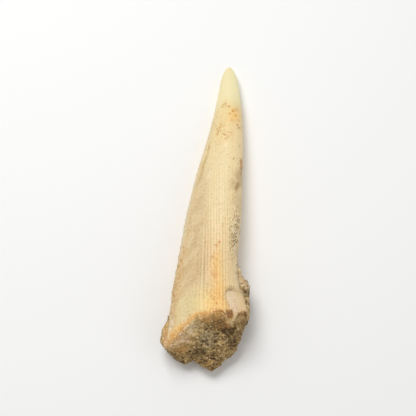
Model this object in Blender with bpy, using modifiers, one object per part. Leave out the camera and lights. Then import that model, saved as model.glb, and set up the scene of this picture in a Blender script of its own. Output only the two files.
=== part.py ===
"""Fossil fish tooth: a long tapering fang with one sharp keel, its broken root held in a lump of sandy rock.

Metres, +Z up. The fossil lies on its side with its tip towards +Y and its keel towards -X. The origin is
under the middle of its bounding box, on the surface that it lies on.
"""

import math

import bmesh
import bpy
import numpy as np
from mathutils import Vector, noise

MM = 0.001

# The tooth's form, in millimetres. Each row is a station along Y: where the keel and the rounded edge lie in
# X, and the heights of the underside, of the two edges and of the crest.
TIP_Y = 25.5
STATIONS = (
    (-24.0, -6.2, 6.6, 1.7, 5.0, 9.6),
    (-20.0, -5.6, 6.6, 1.6, 5.2, 9.4),
    (-16.5, -5.35, 6.3, 1.45, 5.1, 9.0),
    (-13.0, -4.95, 5.2, 1.25, 4.8, 8.5),
    (-9.5, -4.35, 4.95, 1.05, 4.5, 8.0),
    (-3.0, -3.3, 5.5, 0.7, 4.0, 7.1),
    (5.5, -1.5, 5.9, 0.3, 3.3, 5.9),
    (14.0, 0.8, 6.1, 0.05, 2.4, 4.5),
    (20.0, 2.05, 5.75, 0.1, 1.85, 3.25),
    (TIP_Y, 2.95, 4.95, 0.75, 1.5, 2.25),
)
TIP_ROUNDING = 3.0

# Closed sections through the tooth, as shares of its half width and of its depth above and below the edges.
# Both start at the rounded edge and run over the crest to the keel at the ninth point, then back along the
# underside.
ROOT_SECTION = (
    (1.00, 0.00), (0.93, 0.52), (0.70, 0.86), (0.38, 1.00), (0.02, 0.91), (-0.34, 0.67), (-0.62, 0.42),
    (-0.84, 0.25), (-1.00, 0.00), (-0.86, -0.26), (-0.55, -0.60), (-0.10, -0.90), (0.38, -1.00),
    (0.80, -0.70),
)
TIP_SECTION = (
    (1.00, 0.00), (0.90, 0.44), (0.66, 0.78), (0.34, 0.97), (0.00, 1.00), (-0.36, 0.88), (-0.68, 0.64),
    (-0.88, 0.36), (-1.00, 0.00), (-0.88, -0.36), (-0.60, -0.72), (-0.15, -0.98), (0.35, -0.96),
    (0.80, -0.60),
)
SECTION_CHANGE = (3.0, 21.0)
KEEL_PLACE = 8

# The root is broken off on a slant, and the break's Y is given at each point of the section.
BREAK_RIM = (
    -17.1, -17.6, -18.0, -17.7, -18.2, -18.9, -20.35, -21.75, -22.55, -21.8, -20.6, -19.6, -18.8, -17.8,
)
BREAK_DEPTH = 0.5
SPLINTER_X = 3.85
SPLINTER_HALF_WIDTH = 0.7
SPLINTER_LENGTH = 1.85
SPLINTER_DROOP = 0.35
SPLINTER_THINNING = 6

# Relief on the tooth's surface, outwards if positive.
RIDGES_AROUND = 40
RIDGE_HEIGHT = 0.04
RIDGES_FADE = (2.0, 13.0)
RIDGED_TOP = (3.0, 2.6)
RIDGED_UNDERSIDE = (11.6, 2.0)
NICK_DEPTH, NICK_SIZE, NICK_SPREAD, NICK_SEED = 0.14, 0.9, 0.5, 3.0
NICKS_MIDDLE, NICKS_REACH = -1.5, 15.5
GRIT_HEIGHT, GRIT_SIZE, GRIT_SEED = 0.16, 0.8, 7.0
GRIT_PLACE, GRIT_SPREAD = 15.0, 1.3
GRIT_MIDDLE, GRIT_REACH = -4.5, 7.5
SCAR_CENTRE = (4.35, -16.1)
SCAR_RADII = (1.9, 2.6)
SCAR_DEPTH = 0.32

# Rows of faces on the tooth. The sphere that it is shaped from has its rim ring at this latitude.
TOOTH_COLUMNS, TOOTH_RINGS = 80, 36
SOCKET_RINGS = 18
RIM_SINE = math.sin(math.radians(-70))
SHARP_ANGLE = math.radians(40)

# The rock, as blocks with flat broken faces, each the hull of its corners. The main block and the lobe at
# its left slant down from the tooth's broken rim, and the other two cling to the root's edges.
MAIN_BLOCK = (
    (-1.3, -23.2, -0.5), (1.0, -24.5, -0.5), (3.6, -22.8, -0.5), (5.1, -18.4, -0.5), (4.4, -14.2, -0.5),
    (-1.0, -13.0, -0.5), (-4.3, -15.4, -0.5), (-4.8, -19.0, -0.5),
    (-1.6, -24.5, 2.4), (-0.1, -25.1, 2.2), (0.9, -25.7, 2.0), (1.9, -25.1, 2.1), (3.0, -24.3, 2.2),
    (4.95, -22.7, 2.7), (5.6, -20.7, 3.4), (6.0, -19.3, 3.8),
    (-3.4, -20.6, 7.1), (-1.8, -19.2, 8.2), (0.5, -18.6, 9.1), (2.3, -18.2, 9.2), (4.6, -18.5, 8.1),
    (5.9, -18.1, 6.5), (0.0, -15.0, 5.0), (3.8, -19.1, 8.35),
)
LEFT_LOBE = (
    (-4.0, -17.0, -0.5), (-5.6, -19.2, -0.5), (-5.2, -21.9, -0.5), (-3.2, -23.5, -0.5), (-1.6, -22.6, -0.5),
    (-0.5, -19.0, -0.5),
    (-6.8, -21.1, 3.0), (-6.2, -22.5, 2.6), (-4.7, -24.0, 2.1), (-3.3, -24.5, 1.9), (-2.1, -24.4, 2.2),
    (-5.8, -22.5, 5.2), (-4.9, -21.9, 6.2), (-3.6, -20.8, 7.0), (-2.3, -19.9, 7.4), (-3.8, -22.6, 4.9),
    (-2.4, -22.4, 4.6),
)
RIGHT_BLOCK = (
    (4.5, -9.4, 3.6), (4.7, -9.5, 5.0), (5.5, -10.5, 3.8), (6.4, -12.0, 2.6), (6.85, -13.2, 3.9),
    (6.6, -13.2, 5.6), (6.8, -16.0, 3.2), (6.7, -16.0, 5.4), (6.5, -18.6, 3.4), (6.2, -18.4, 5.7),
    (5.9, -19.6, 2.6), (5.6, -19.7, 5.4), (5.4, -12.4, 0.9), (5.8, -17.0, 0.5), (3.6, -13.5, 1.2),
    (3.6, -18.0, 4.8), (3.4, -12.5, 4.2),
)
LEFT_BLOCK = (
    (-6.2, -22.5, 2.2), (-6.8, -21.1, 2.6), (-6.8, -19.7, 3.4), (-5.6, -17.5, 3.6), (-6.5, -21.8, 4.4),
    (-6.6, -20.0, 4.8), (-5.0, -17.6, 1.2), (-4.0, -18.4, 4.4), (-3.9, -22.0, 4.3), (-5.6, -20.6, 0.2),
)
ROCK_VOXEL = 0.5
ROCK_LUMPS = ((2.6, 0.34), (1.1, 0.20))
ROCK_HOLLOW = (2.2, -20.8, 6.8)
ROCK_HOLLOW_RADIUS, ROCK_HOLLOW_DEPTH = 2.4, 0.55
GAP = 0.36

COLOURS = {"tooth": ((0.84, 0.70, 0.43, 1.0), 0.38), "matrix": ((0.25, 0.18, 0.10, 1.0), 0.9)}


def clear_scene():
    for old in list(bpy.data.objects):
        bpy.data.objects.remove(old)


def collection(name):
    made = bpy.data.collections.new(name)
    bpy.context.scene.collection.children.link(made)
    return made


def material(name):
    """A plain finish with the part's colour and roughness."""
    colour, roughness = COLOURS[name]
    made = bpy.data.materials.new(name)
    made.use_nodes = True
    shader = made.node_tree.nodes["Principled BSDF"]
    shader.inputs["Base Color"].default_value = colour
    shader.inputs["Roughness"].default_value = roughness
    shader.inputs["Metallic"].default_value = 0.0
    made.diffuse_color = colour
    return made


def smooth_step(low, high, value):
    share = np.clip((value - low) / (high - low), 0.0, 1.0)
    return share * share * (3.0 - 2.0 * share)


def bump(value, middle, spread):
    """1 at the middle, falling smoothly to 0 at the spread to either side."""
    return 1.0 - smooth_step(0.0, spread, np.abs(value - middle))


def along_tooth(y):
    """The five figures of a station at any Y, on curves with no corners."""
    table = np.array(STATIONS)
    stations, figures = table[:, 0], table[:, 1:]
    slopes = np.gradient(figures, stations, axis=0)
    first = np.clip(np.searchsorted(stations, y) - 1, 0, len(stations) - 2)
    step = (stations[first + 1] - stations[first])[:, None]
    part = ((y - stations[first])[:, None]) / step
    rest = 1.0 - part
    curve = figures[first] * rest**2 * (1 + 2 * part) + figures[first + 1] * part**2 * (1 + 2 * rest)
    curve += step * part * rest * (slopes[first] * rest - slopes[first + 1] * part)
    return curve.T


def closed_curve(points, place):
    """Where a smooth closed curve through these points is; place counts the points from the first."""
    points = np.array(points, float)
    first = np.floor(place).astype(int)
    part = (place - first)[:, None] if points.ndim == 2 else place - first
    before, here, after, beyond = (points[(first + step) % len(points)] for step in (-1, 0, 1, 2))
    bend = 2 * before - 5 * here + 4 * after - beyond + part * (3 * (here - after) + beyond - before)
    return here + 0.5 * part * (after - before + part * bend)


def section(place, y):
    """X and Z of the tooth's smooth wall at a place round its section."""
    keel_x, edge_x, under, edges, crest = along_tooth(y)
    from_tip = np.clip((TIP_Y - y) / TIP_ROUNDING, 0.0, 1.0)
    nose = np.sqrt(1.0 - (1.0 - from_tip) ** 2)
    change = smooth_step(*SECTION_CHANGE, y)[:, None]
    root, tip = closed_curve(ROOT_SECTION, place), closed_curve(TIP_SECTION, place)
    across, up = (root * (1 - change) + tip * change).T
    x = (keel_x + edge_x) / 2 + across * nose * (edge_x - keel_x) / 2
    z = edges + up * nose * np.where(up > 0, crest - edges, edges - under)
    return x, z


def rough(points, size, seed):
    """Even noise from -1 to 1 over points in millimetres."""
    return np.array([noise.noise(Vector(point) / size + Vector((seed, 0.0, 0.0))) for point in points])


def relief(place, x, y, z):
    """How far the surface stands out of the smooth wall: ridges, a nicked keel, stuck grit and a scar."""
    points = np.stack((x, y, z), axis=1)
    count = len(ROOT_SECTION)
    ridged = bump(place, *RIDGED_TOP) + bump(place, *RIDGED_UNDERSIDE)
    ridged *= 1 - smooth_step(*RIDGES_FADE, y)
    out = RIDGE_HEIGHT * ridged * np.cos(2 * math.pi * RIDGES_AROUND * place / count)
    nicked = bump(place, KEEL_PLACE, NICK_SPREAD) * bump(y, NICKS_MIDDLE, NICKS_REACH)
    out += NICK_DEPTH * nicked * rough(points, NICK_SIZE, NICK_SEED)
    from_grit = np.minimum(np.abs(place - GRIT_PLACE), np.abs(place + count - GRIT_PLACE))
    gritty = bump(from_grit, 0.0, GRIT_SPREAD) * bump(y, GRIT_MIDDLE, GRIT_REACH)
    out += GRIT_HEIGHT * gritty * rough(points, GRIT_SIZE, GRIT_SEED)
    from_scar = np.hypot((x - SCAR_CENTRE[0]) / SCAR_RADII[0], (y - SCAR_CENTRE[1]) / SCAR_RADII[1])
    on_top = (place > 0.5) & (place < KEEL_PLACE)
    out -= SCAR_DEPTH * on_top * bump(from_scar, 0.0, 1.0)
    return out


def tooth_points(turn, sine, grown=0.0):
    """Moves a unit sphere's points, given by their share of a turn and their height, onto the tooth."""
    place = turn * len(ROOT_SECTION)
    share = np.clip((sine - RIM_SINE) / (1.0 - RIM_SINE), 0.0, 1.0)
    rim_x, _ = section(place, closed_curve(BREAK_RIM, place))
    splinter = bump(rim_x, SPLINTER_X, SPLINTER_HALF_WIDTH + grown) * (place < KEEL_PLACE)
    smooth_rim_y = closed_curve(BREAK_RIM, place) - grown
    rim_y = smooth_rim_y - SPLINTER_LENGTH * splinter
    y = rim_y + (TIP_Y - rim_y) * share
    x, z = section(place, y)
    keel_x, edge_x, under, _, crest = along_tooth(y)
    middle_x, middle_z = (keel_x + edge_x) / 2, (under + crest) / 2
    out = np.full(len(y), grown) if grown else relief(place, x, y, z)
    reach = np.maximum(np.hypot(x - middle_x, z - middle_z), 0.01)
    inside = np.sqrt(np.clip((1.0 - sine**2) / (1.0 - RIM_SINE**2), 0.0, 1.0))
    closing = np.where(sine < RIM_SINE, inside, 1.0)
    x = middle_x + (x - middle_x) * (1 + out / reach) * closing
    beyond = np.maximum(smooth_rim_y - y, 0.0) * closing**SPLINTER_THINNING
    z = middle_z + (z - middle_z) * (1 + out / reach) * closing - SPLINTER_DROOP * beyond**2
    face_y = smooth_rim_y * closing - beyond + (np.mean(BREAK_RIM) - BREAK_DEPTH - grown) * (1 - closing)
    y = np.where(closing < 1.0, face_y, y)
    return np.stack((x, y, z), axis=1)


def tooth_mesh(name, columns, rings, grown=0.0):
    """A sphere drawn out into the tooth, with its top pole at the tip and its bottom pole in the break."""
    form = bmesh.new()
    bmesh.ops.create_uvsphere(form, u_segments=columns, v_segments=rings, radius=1.0)
    places = np.array([vertex.co for vertex in form.verts])
    turn = np.arctan2(places[:, 1], places[:, 0]) / (2 * math.pi) % 1.0
    for vertex, point in zip(form.verts, tooth_points(turn, places[:, 2], grown)):
        vertex.co = Vector(point) * MM
        vertex.co.z = max(vertex.co.z, 0.0)
    bmesh.ops.reverse_faces(form, faces=form.faces)
    mesh = bpy.data.meshes.new(name)
    form.to_mesh(mesh)
    form.free()
    return mesh


def add_object(name, mesh, home):
    made = bpy.data.objects.new(name, mesh)
    home.objects.link(made)
    return made


def applied(obj):
    """The object's evaluated mesh, with its modifiers gone."""
    graph = bpy.context.evaluated_depsgraph_get()
    mesh = bpy.data.meshes.new_from_object(obj.evaluated_get(graph))
    obj.modifiers.clear()
    return mesh


def add_block(form, corners):
    """One block of rock, the hull of its corners."""
    new = [form.verts.new(Vector(corner) * MM) for corner in corners]
    hull = bmesh.ops.convex_hull(form, input=new)
    spare = hull["geom_interior"] + hull["geom_unused"]
    inner = {item for item in spare if isinstance(item, bmesh.types.BMVert)}
    bmesh.ops.delete(form, geom=list(inner), context="VERTS")


def roughen(mesh):
    """Pushes the rock's surface into lumps, hollows it under the tooth's rim, and flattens its foot."""
    form = bmesh.new()
    form.from_mesh(mesh)
    form.normal_update()
    hollow = Vector(ROCK_HOLLOW)
    for vertex in form.verts:
        place = vertex.co / MM
        out = sum(height * noise.noise(place / size) for size, height in ROCK_LUMPS)
        nearness = max(0.0, 1.0 - (place - hollow).length / ROCK_HOLLOW_RADIUS)
        out -= ROCK_HOLLOW_DEPTH * nearness * nearness * (3 - 2 * nearness)
        vertex.co += vertex.normal * out * MM
    everything = form.verts[:] + form.edges[:] + form.faces[:]
    bmesh.ops.bisect_plane(form, geom=everything, plane_co=(0, 0, 0), plane_no=(0, 0, -1), clear_outer=True)
    bmesh.ops.holes_fill(form, edges=[edge for edge in form.edges if edge.is_boundary], sides=0)
    bmesh.ops.recalc_face_normals(form, faces=form.faces)
    form.to_mesh(mesh)
    form.free()


def rock_mesh():
    """The blocks fused into one lump with a rough surface."""
    form = bmesh.new()
    for corners in (MAIN_BLOCK, LEFT_LOBE, RIGHT_BLOCK, LEFT_BLOCK):
        add_block(form, corners)
    mesh = bpy.data.meshes.new("rock_blocks")
    form.to_mesh(mesh)
    form.free()
    blocks = add_object("rock_blocks", mesh, bpy.context.scene.collection)
    fuse = blocks.modifiers.new("fuse", "REMESH")
    fuse.mode = "VOXEL"
    fuse.voxel_size = ROCK_VOXEL * MM
    fused = applied(blocks)
    bpy.data.objects.remove(blocks)
    roughen(fused)
    return fused


def build():
    clear_scene()
    fossil = collection("fossil_fish_tooth")
    cutters = collection("cutters")
    tooth = add_object("tooth", tooth_mesh("tooth", TOOTH_COLUMNS, TOOTH_RINGS), fossil)
    tooth.data.shade_smooth()
    tooth.data.set_sharp_from_angle(angle=SHARP_ANGLE)
    socket = add_object("socket", tooth_mesh("socket", TOOTH_COLUMNS, SOCKET_RINGS, GAP), cutters)
    socket.hide_render = True
    socket.display_type = "WIRE"
    matrix = add_object("matrix", rock_mesh(), fossil)
    seat = matrix.modifiers.new("seat", "BOOLEAN")
    seat.operation = "DIFFERENCE"
    seat.solver = "EXACT"
    seat.object = socket
    for part in (tooth, matrix):
        part.data.materials.append(material(part.name))


build()
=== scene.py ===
"""The looks of a fossil fish tooth: a pale fang with one keel, its broken root in a lump of cemented sand.

Lengths are in millimetres until a mesh is made. The tooth lies along Y, with its tip towards +Y and its keel
towards -X, as it does in the frame.
"""

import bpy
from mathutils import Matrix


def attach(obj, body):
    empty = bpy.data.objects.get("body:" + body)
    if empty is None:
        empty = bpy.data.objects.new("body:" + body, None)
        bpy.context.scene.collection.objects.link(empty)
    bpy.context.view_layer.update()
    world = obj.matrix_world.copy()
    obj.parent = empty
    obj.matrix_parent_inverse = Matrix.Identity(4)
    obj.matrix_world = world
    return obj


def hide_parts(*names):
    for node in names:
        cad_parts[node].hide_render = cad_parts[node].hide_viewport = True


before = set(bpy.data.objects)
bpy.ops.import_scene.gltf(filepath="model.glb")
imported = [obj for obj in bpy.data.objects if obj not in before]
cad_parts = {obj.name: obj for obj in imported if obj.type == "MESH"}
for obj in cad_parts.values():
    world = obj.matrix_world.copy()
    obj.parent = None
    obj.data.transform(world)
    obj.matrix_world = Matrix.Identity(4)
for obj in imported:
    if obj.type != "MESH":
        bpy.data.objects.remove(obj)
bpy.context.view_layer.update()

import math
import random

import bmesh
import bpy
import numpy as np
from mathutils import Matrix, Vector, noise
from mathutils.bvhtree import BVHTree

MM = 0.001

# The view and the light.
FOCAL_LENGTH, SENSOR_WIDTH = 85.0, 36.0
VIEW_ELEVATION = math.radians(72)
VIEW_DISTANCE = 155.2
VIEW_TARGET = (0.40, -0.25, 4.0)
KEY_PLACE, KEY_SIZE, KEY_POWER = (-70.0, 110.0, 260.0), 150.0, 0.50
FILL_PLACE, FILL_SIZE, FILL_POWER = (190.0, -120.0, 150.0), 200.0, 0.055
SKY_STRENGTH = 0.42
FLOOR_SIZE = 6000.0
NEAR_CLIP, FAR_CLIP = 5.0, 20000.0

# The tooth's form, as in the part. Each row is a station along Y: where the keel and the rounded edge lie in
# X, and the heights of the underside, of the two edges and of the crest.
TIP_Y = 25.5
STATIONS = (
    (-24.0, -6.2, 6.6, 1.7, 5.0, 9.6),
    (-20.0, -5.6, 6.6, 1.6, 5.2, 9.4),
    (-16.5, -5.35, 6.3, 1.45, 5.1, 9.0),
    (-13.0, -4.95, 5.2, 1.25, 4.8, 8.5),
    (-9.5, -4.35, 4.95, 1.05, 4.5, 8.0),
    (-3.0, -3.3, 5.5, 0.7, 4.0, 7.1),
    (5.5, -1.5, 5.9, 0.3, 3.3, 5.9),
    (14.0, 0.8, 6.1, 0.05, 2.4, 4.5),
    (20.0, 2.05, 5.75, 0.1, 1.85, 3.25),
    (TIP_Y, 2.95, 4.95, 0.75, 1.5, 2.25),
)
TIP_ROUNDING = 3.0
ROOT_SECTION = (
    (1.00, 0.00), (0.93, 0.52), (0.70, 0.86), (0.38, 1.00), (0.02, 0.91), (-0.34, 0.67), (-0.62, 0.42),
    (-0.84, 0.25), (-1.00, 0.00), (-0.86, -0.26), (-0.55, -0.60), (-0.10, -0.90), (0.38, -1.00),
    (0.80, -0.70),
)
TIP_SECTION = (
    (1.00, 0.00), (0.90, 0.44), (0.66, 0.78), (0.34, 0.97), (0.00, 1.00), (-0.36, 0.88), (-0.68, 0.64),
    (-0.88, 0.36), (-1.00, 0.00), (-0.88, -0.36), (-0.60, -0.72), (-0.15, -0.98), (0.35, -0.96),
    (0.80, -0.60),
)
PLACES = len(ROOT_SECTION)
SECTION_CHANGE = (3.0, 21.0)
KEEL_PLACE = 8
BREAK_RIM = (
    -17.1, -17.6, -18.0, -17.7, -18.2, -18.9, -20.35, -21.75, -22.55, -21.8, -20.6, -19.6, -18.8, -17.8,
)
BREAK_DEPTH = 0.5

# The tooth's mesh: a sphere of this many columns and rings, with its rim ring at this latitude.
TOOTH_COLUMNS, TOOTH_RINGS = 300, 330
RIM_LATITUDE = math.radians(-80)
RING_CROWDING = 0.3

# Relief on the tooth, as sizes and heights. A swell has a seed as well. A line along the tooth is given by
# pairs of Y and a value.
SWELLS = ((2.4, 0.035, 1.0), (0.8, 0.014, 2.0))
SPLINTER_X, SPLINTER_HALF_WIDTH, SPLINTER_LENGTH = 3.8, 1.25, 2.2
SPLINTER_DROOP, SPLINTER_THINNING = 0.35, 12
SPLINTER_COLOUR_STARTS = (-0.3, 0.6)
RIM_CHIPS = ((0.9, 0.2), (0.35, 0.12))
GROOVE_LINE = (
    (-16.0, 0.8), (-8.0, 0.8), (-1.0, 0.65), (3.3, 0.55), (5.5, 0.84), (7.3, 0.7), (8.7, 0.85), (13.5, 0.5),
    (17.0, 0.55),
)
GROOVE_STRENGTH = (
    (-16.0, 0.1), (-6.0, 0.3), (-1.0, 0.45), (3.0, 0.5), (6.0, 0.9), (7.8, 1.3), (9.3, 0.8), (12.0, 0.3),
    (14.0, 0.45), (16.5, 0.3), (18.0, 0.0),
)
GROOVE_SPREAD, GROOVE_DEPTH, GROOVE_WOBBLE = 0.5, 0.06, 0.08
NICK_DEPTH, NICK_SIZE, NICK_SPREAD = 0.16, 0.45, 0.5
NICKS_MIDDLE, NICKS_REACH = -3.0, 14.0
WORN_EDGE_MIDDLE, WORN_EDGE_REACH, WORN_EDGE_SPREAD = -14.0, 9.0, 1.9
WORN_EDGE_DEPTH, WORN_EDGE_SIZE = 0.10, 0.5
SCAR = (
    (2.85, -15.2), (3.05, -14.6), (3.5, -14.35), (4.7, -14.2), (5.4, -14.5), (6.6, -16.0), (7.0, -18.6),
    (4.7, -18.9), (3.35, -17.6),
)
# The scar's depth, step and wobble, and the width of the painted shadow under its step.
SCAR_DEPTH, SCAR_STEP, SCAR_WOBBLE, SCAR_SHADOW_WIDTH = 0.22, 0.4, 0.2, 0.7
PIT = ((2.85, -17.6), (4.3, -17.5), (4.35, -18.5), (4.0, -19.3), (3.6, -19.3), (3.1, -18.7))
PIT_DEPTH, PIT_STEP, PIT_WOBBLE = 0.08, 0.25, 0.06
GRIT_PLACE, GRIT_SPREAD = 15.35, 1.3
GRIT_MIDDLE, GRIT_REACH = -5.2, 6.2
GRIT_HEIGHT, GRIT_SIZE = 0.15, 0.42
BREAK_ROUGHNESS = ((0.9, 0.35), (0.4, 0.18))
LINE_SPACING, LINE_UNIT, LINE_LENGTH = 0.43, 0.24, 25.0
LINES_FAN_X, LINES_FAN_WIDTH = 0.6, 4.2

# How wide the stained band along the break's rim is, as pairs of X and a width.
RIM_BAND_WIDTHS = (
    (-5.6, 3.6), (-3.4, 2.9), (-2.2, 2.0), (-0.8, 1.3), (0.8, 1.0), (2.4, 0.8), (3.1, 0.1), (5.0, 0.1),
    (5.7, 0.4), (6.5, 0.5),
)

# Stains and specks on the tooth, and painted shade down its right edge: X, Y, radius and strength. They reach
# further where they run down the side. The values before the lists are how far down and along Y they reach,
# how ragged and full they are, and how far the rust, dark and pale ones sink or rise.
DOWN_THE_SIDE = 0.6
SPOT_STRETCH, SPOT_RAGGEDNESS, SPOT_FULLNESS, SPOT_RELIEF = 1.2, 0.45, 1.5, 0.03
RUST_SPOTS = (
    (3.34, 18.5, 0.28, 0.25), (3.13, 18.0, 0.3, 0.4), (3.28, 17.45, 0.3, 0.35), (3.87, 17.3, 0.3, 0.95),
    (4.48, 16.45, 0.34, 0.9), (3.94, 15.9, 0.28, 0.85), (5.1, 16.8, 0.5, 0.4), (4.9, 15.6, 0.32, 0.6),
    (4.25, 14.6, 0.4, 0.35), (5.5, 14.85, 0.25, 0.5), (1.92, 12.3, 0.38, 0.6), (3.2, 11.25, 0.25, 0.6),
    (4.1, 11.9, 0.2, 0.35), (5.8, 7.5, 0.75, 0.9), (5.85, 6.7, 0.85, 1.0),
    (2.72, -4.1, 0.25, 0.45), (2.12, -6.9, 0.28, 1.0), (1.71, -7.4, 0.38, 0.8), (1.05, -9.25, 0.4, 0.6),
    (1.45, -12.2, 0.7, 0.5), (-3.4, -6.95, 0.28, 0.6), (-3.4, -7.8, 0.25, 0.5), (-3.75, -9.1, 0.35, 0.7),
    (-4.15, -10.0, 0.35, 0.7), (-2.9, -11.3, 0.2, 0.4), (-0.5, -3.5, 0.4, 0.3), (0.15, -3.4, 0.3, 0.25),
    (0.9, -15.5, 0.22, 0.9), (1.2, -15.8, 0.2, 0.7), (0.95, -14.5, 0.18, 0.7), (0.4, -16.4, 0.2, 0.6),
    (2.1, -15.2, 0.22, 0.7), (1.95, -15.9, 0.2, 0.8), (1.7, -16.7, 0.22, 0.8), (1.4, -16.1, 0.2, 0.6),
    (2.6, 13.8, 0.25, 0.7), (2.3, 13.4, 0.3, 0.75), (2.2, 12.9, 0.24, 0.6), (1.8, 13.3, 0.22, 0.6),
    (3.25, 11.9, 0.28, 0.7), (3.6, 11.6, 0.24, 0.6), (4.1, 12.2, 0.24, 0.6), (5.2, 13.9, 0.28, 0.7),
    (5.4, 13.4, 0.3, 0.7), (2.9, 12.2, 0.2, 0.5), (2.75, 17.45, 0.24, 0.6),
)
# Dark dirt spots and smears, and the broad ones down the right edge, which are painted shade where that side
# turns from the light.
DARK_SPOTS_AND_EDGE_SHADE = (
    (3.8, 5.95, 0.24, 0.4), (5.55, 10.1, 0.35, 0.5), (5.75, 6.1, 0.6, 0.9), (5.65, 5.3, 0.6, 0.9),
    (4.54, 7.6, 0.25, 0.7), (5.6, 7.3, 0.5, 0.4), (4.4, -6.9, 0.25, 0.9), (4.8, -7.8, 0.3, 0.9),
    (5.7, 4.4, 2.0, 0.6), (5.45, 4.6, 0.6, 0.4), (5.3, 3.9, 0.6, 0.5), (5.15, 3.2, 0.6, 1.0),
    (5.0, 2.75, 0.6, 1.0), (4.8, 2.35, 0.5, 0.8), (4.85, 1.9, 0.35, 0.6), (4.9, -8.5, 0.5, 0.6),
    (4.6, 3.0, 1.6, 0.35), (5.2, 0.3, 2.2, 0.28),
    (4.9, 2.15, 0.28, 0.45), (2.0, -0.5, 0.22, 0.4), (1.2, -4.9, 0.2, 0.4), (-1.2, -8.55, 0.2, 0.6),
    (0.0, -10.35, 0.22, 0.55), (4.85, -6.5, 0.4, 1.0), (4.4, -6.8, 0.32, 0.9), (5.0, -8.4, 0.4, 0.8),
    (4.9, -9.3, 0.3, 0.8), (4.9, -7.4, 0.9, 0.25), (-0.9, 7.4, 0.2, 0.8), (-1.2, 6.4, 0.2, 0.9),
)
PALE_SPOTS = (
    (0.56, 4.7, 0.6, 0.5), (3.28, 10.0, 0.45, 0.6), (1.5, 10.2, 0.3, 0.5), (4.43, -1.0, 0.35, 0.6),
    (4.4, -5.2, 0.3, 1.0), (4.63, -6.0, 0.32, 1.0), (4.59, -7.4, 0.3, 1.0), (-5.05, -19.0, 0.55, 0.5),
    (4.2, -5.6, 0.2, 0.9), (4.85, -5.3, 0.25, 0.8),
    (-5.3, -20.0, 0.5, 0.6), (-5.55, -21.0, 0.4, 0.5), (-3.2, -18.9, 0.8, 0.35),
)
MOTTLED = (
    (2.3, 13.4, 1.3, 1.0), (3.6, 12.0, 1.4, 1.0), (5.4, 13.8, 1.2, 1.0), (0.4, 10.2, 0.8, 0.9),
    (1.5, 10.5, 1.2, 0.5), (3.2, 17.6, 0.9, 0.8), (1.2, -15.0, 2.4, 0.6), (1.6, -10.0, 2.4, 0.5),
    (-2.5, -3.5, 1.8, 0.4), (-1.0, -6.5, 2.2, 0.4), (3.6, -2.5, 2.4, 0.5),
)
DUSTY = ((4.9, -10.4, 1.0, 0.5), (4.95, -11.6, 1.0, 0.7), (5.1, -12.8, 1.1, 0.8), (5.3, -13.8, 1.0, 0.8))
UPPER_STAIN_CENTRE, UPPER_STAIN_RADII = (4.75, 15.7), (1.8, 2.3)
CREST_STAIN_LINE = ((-19.0, 2.0), (-15.0, 1.9), (-10.0, 1.7), (-6.5, 2.1))
CREST_STAIN_WIDTHS = ((-19.0, 2.4), (-16.0, 1.8), (-12.0, 1.3), (-8.0, 0.9), (-5.5, 0.4))
GLOW_MIDDLE, GLOW_RADII = (0.2, -17.0), (3.2, 5.0)
UPPER_STAIN_WOBBLE, CREST_STAIN_WOBBLE, GLOW_WOBBLE = 0.35, 0.3, 0.3

# The noises that make marks ragged, a fine and a broad one, and the seeds that keep the noises apart.
WOBBLE_SIZE, DRIFT_SIZE = 0.35, 1.5
WOBBLE_SEED, DRIFT_SEED, NICK_SEED, WORN_EDGE_SEED = 11.0, 12.0, 3.0, 4.0
CHIP_SEED, GRIT_SEED, BREAK_SEED = 5.0, 7.0, 8.0


def smooth_step(low, high, value):
    """0 up to low, rising smoothly to 1 at high. It falls instead where low is the larger."""
    share = np.clip((value - low) / (high - low), 0.0, 1.0)
    return share * share * (3.0 - 2.0 * share)


def bump(value, middle, spread):
    """1 at the middle, falling smoothly to 0 at the spread to either side."""
    return 1.0 - smooth_step(0.0, spread, np.abs(value - middle))


def rough(points, size, seed):
    """Even noise from -1 to 1 over points in millimetres."""
    shift = Vector((seed, 0.0, 0.0))
    return np.array([noise.noise(Vector(point) / size + shift) for point in points])


def depth_inside(corners, x, y):
    """How far points lie inside a convex outline, given by its corners clockwise."""
    depth = np.full(len(x), np.inf)
    for (x0, y0), (x1, y1) in zip(corners, corners[1:] + corners[:1]):
        length = math.hypot(x1 - x0, y1 - y0)
        depth = np.minimum(depth, ((y1 - y0) * (x - x0) - (x1 - x0) * (y - y0)) / length)
    return depth


def along_tooth(y):
    """The five figures of a station at any Y, on curves with no corners."""
    table = np.array(STATIONS)
    stations, figures = table[:, 0], table[:, 1:]
    slopes = np.gradient(figures, stations, axis=0)
    first = np.clip(np.searchsorted(stations, y) - 1, 0, len(stations) - 2)
    step = (stations[first + 1] - stations[first])[:, None]
    part = ((y - stations[first])[:, None]) / step
    rest = 1.0 - part
    curve = figures[first] * rest**2 * (1 + 2 * part) + figures[first + 1] * part**2 * (1 + 2 * rest)
    curve += step * part * rest * (slopes[first] * rest - slopes[first + 1] * part)
    return curve.T


def closed_curve(points, place):
    """Where a smooth closed curve through these points is; place counts the points from the first."""
    points = np.array(points, float)
    first = np.floor(place).astype(int)
    part = (place - first)[:, None] if points.ndim == 2 else place - first
    before, here, after, beyond = (points[(first + step) % len(points)] for step in (-1, 0, 1, 2))
    bend = 2 * before - 5 * here + 4 * after - beyond + part * (3 * (here - after) + beyond - before)
    return here + 0.5 * part * (after - before + part * bend)


def section(place, y):
    """X and Z of the tooth's smooth wall at a place round its section."""
    keel_x, edge_x, under, edges, crest = along_tooth(y)
    from_tip = np.clip((TIP_Y - y) / TIP_ROUNDING, 0.0, 1.0)
    nose = np.sqrt(1.0 - (1.0 - from_tip) ** 2)
    change = smooth_step(*SECTION_CHANGE, y)[:, None]
    root, tip = closed_curve(ROOT_SECTION, place), closed_curve(TIP_SECTION, place)
    across, up = (root * (1 - change) + tip * change).T
    x = (keel_x + edge_x) / 2 + across * nose * (edge_x - keel_x) / 2
    z = edges + up * nose * np.where(up > 0, crest - edges, edges - under)
    return x, z


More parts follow.
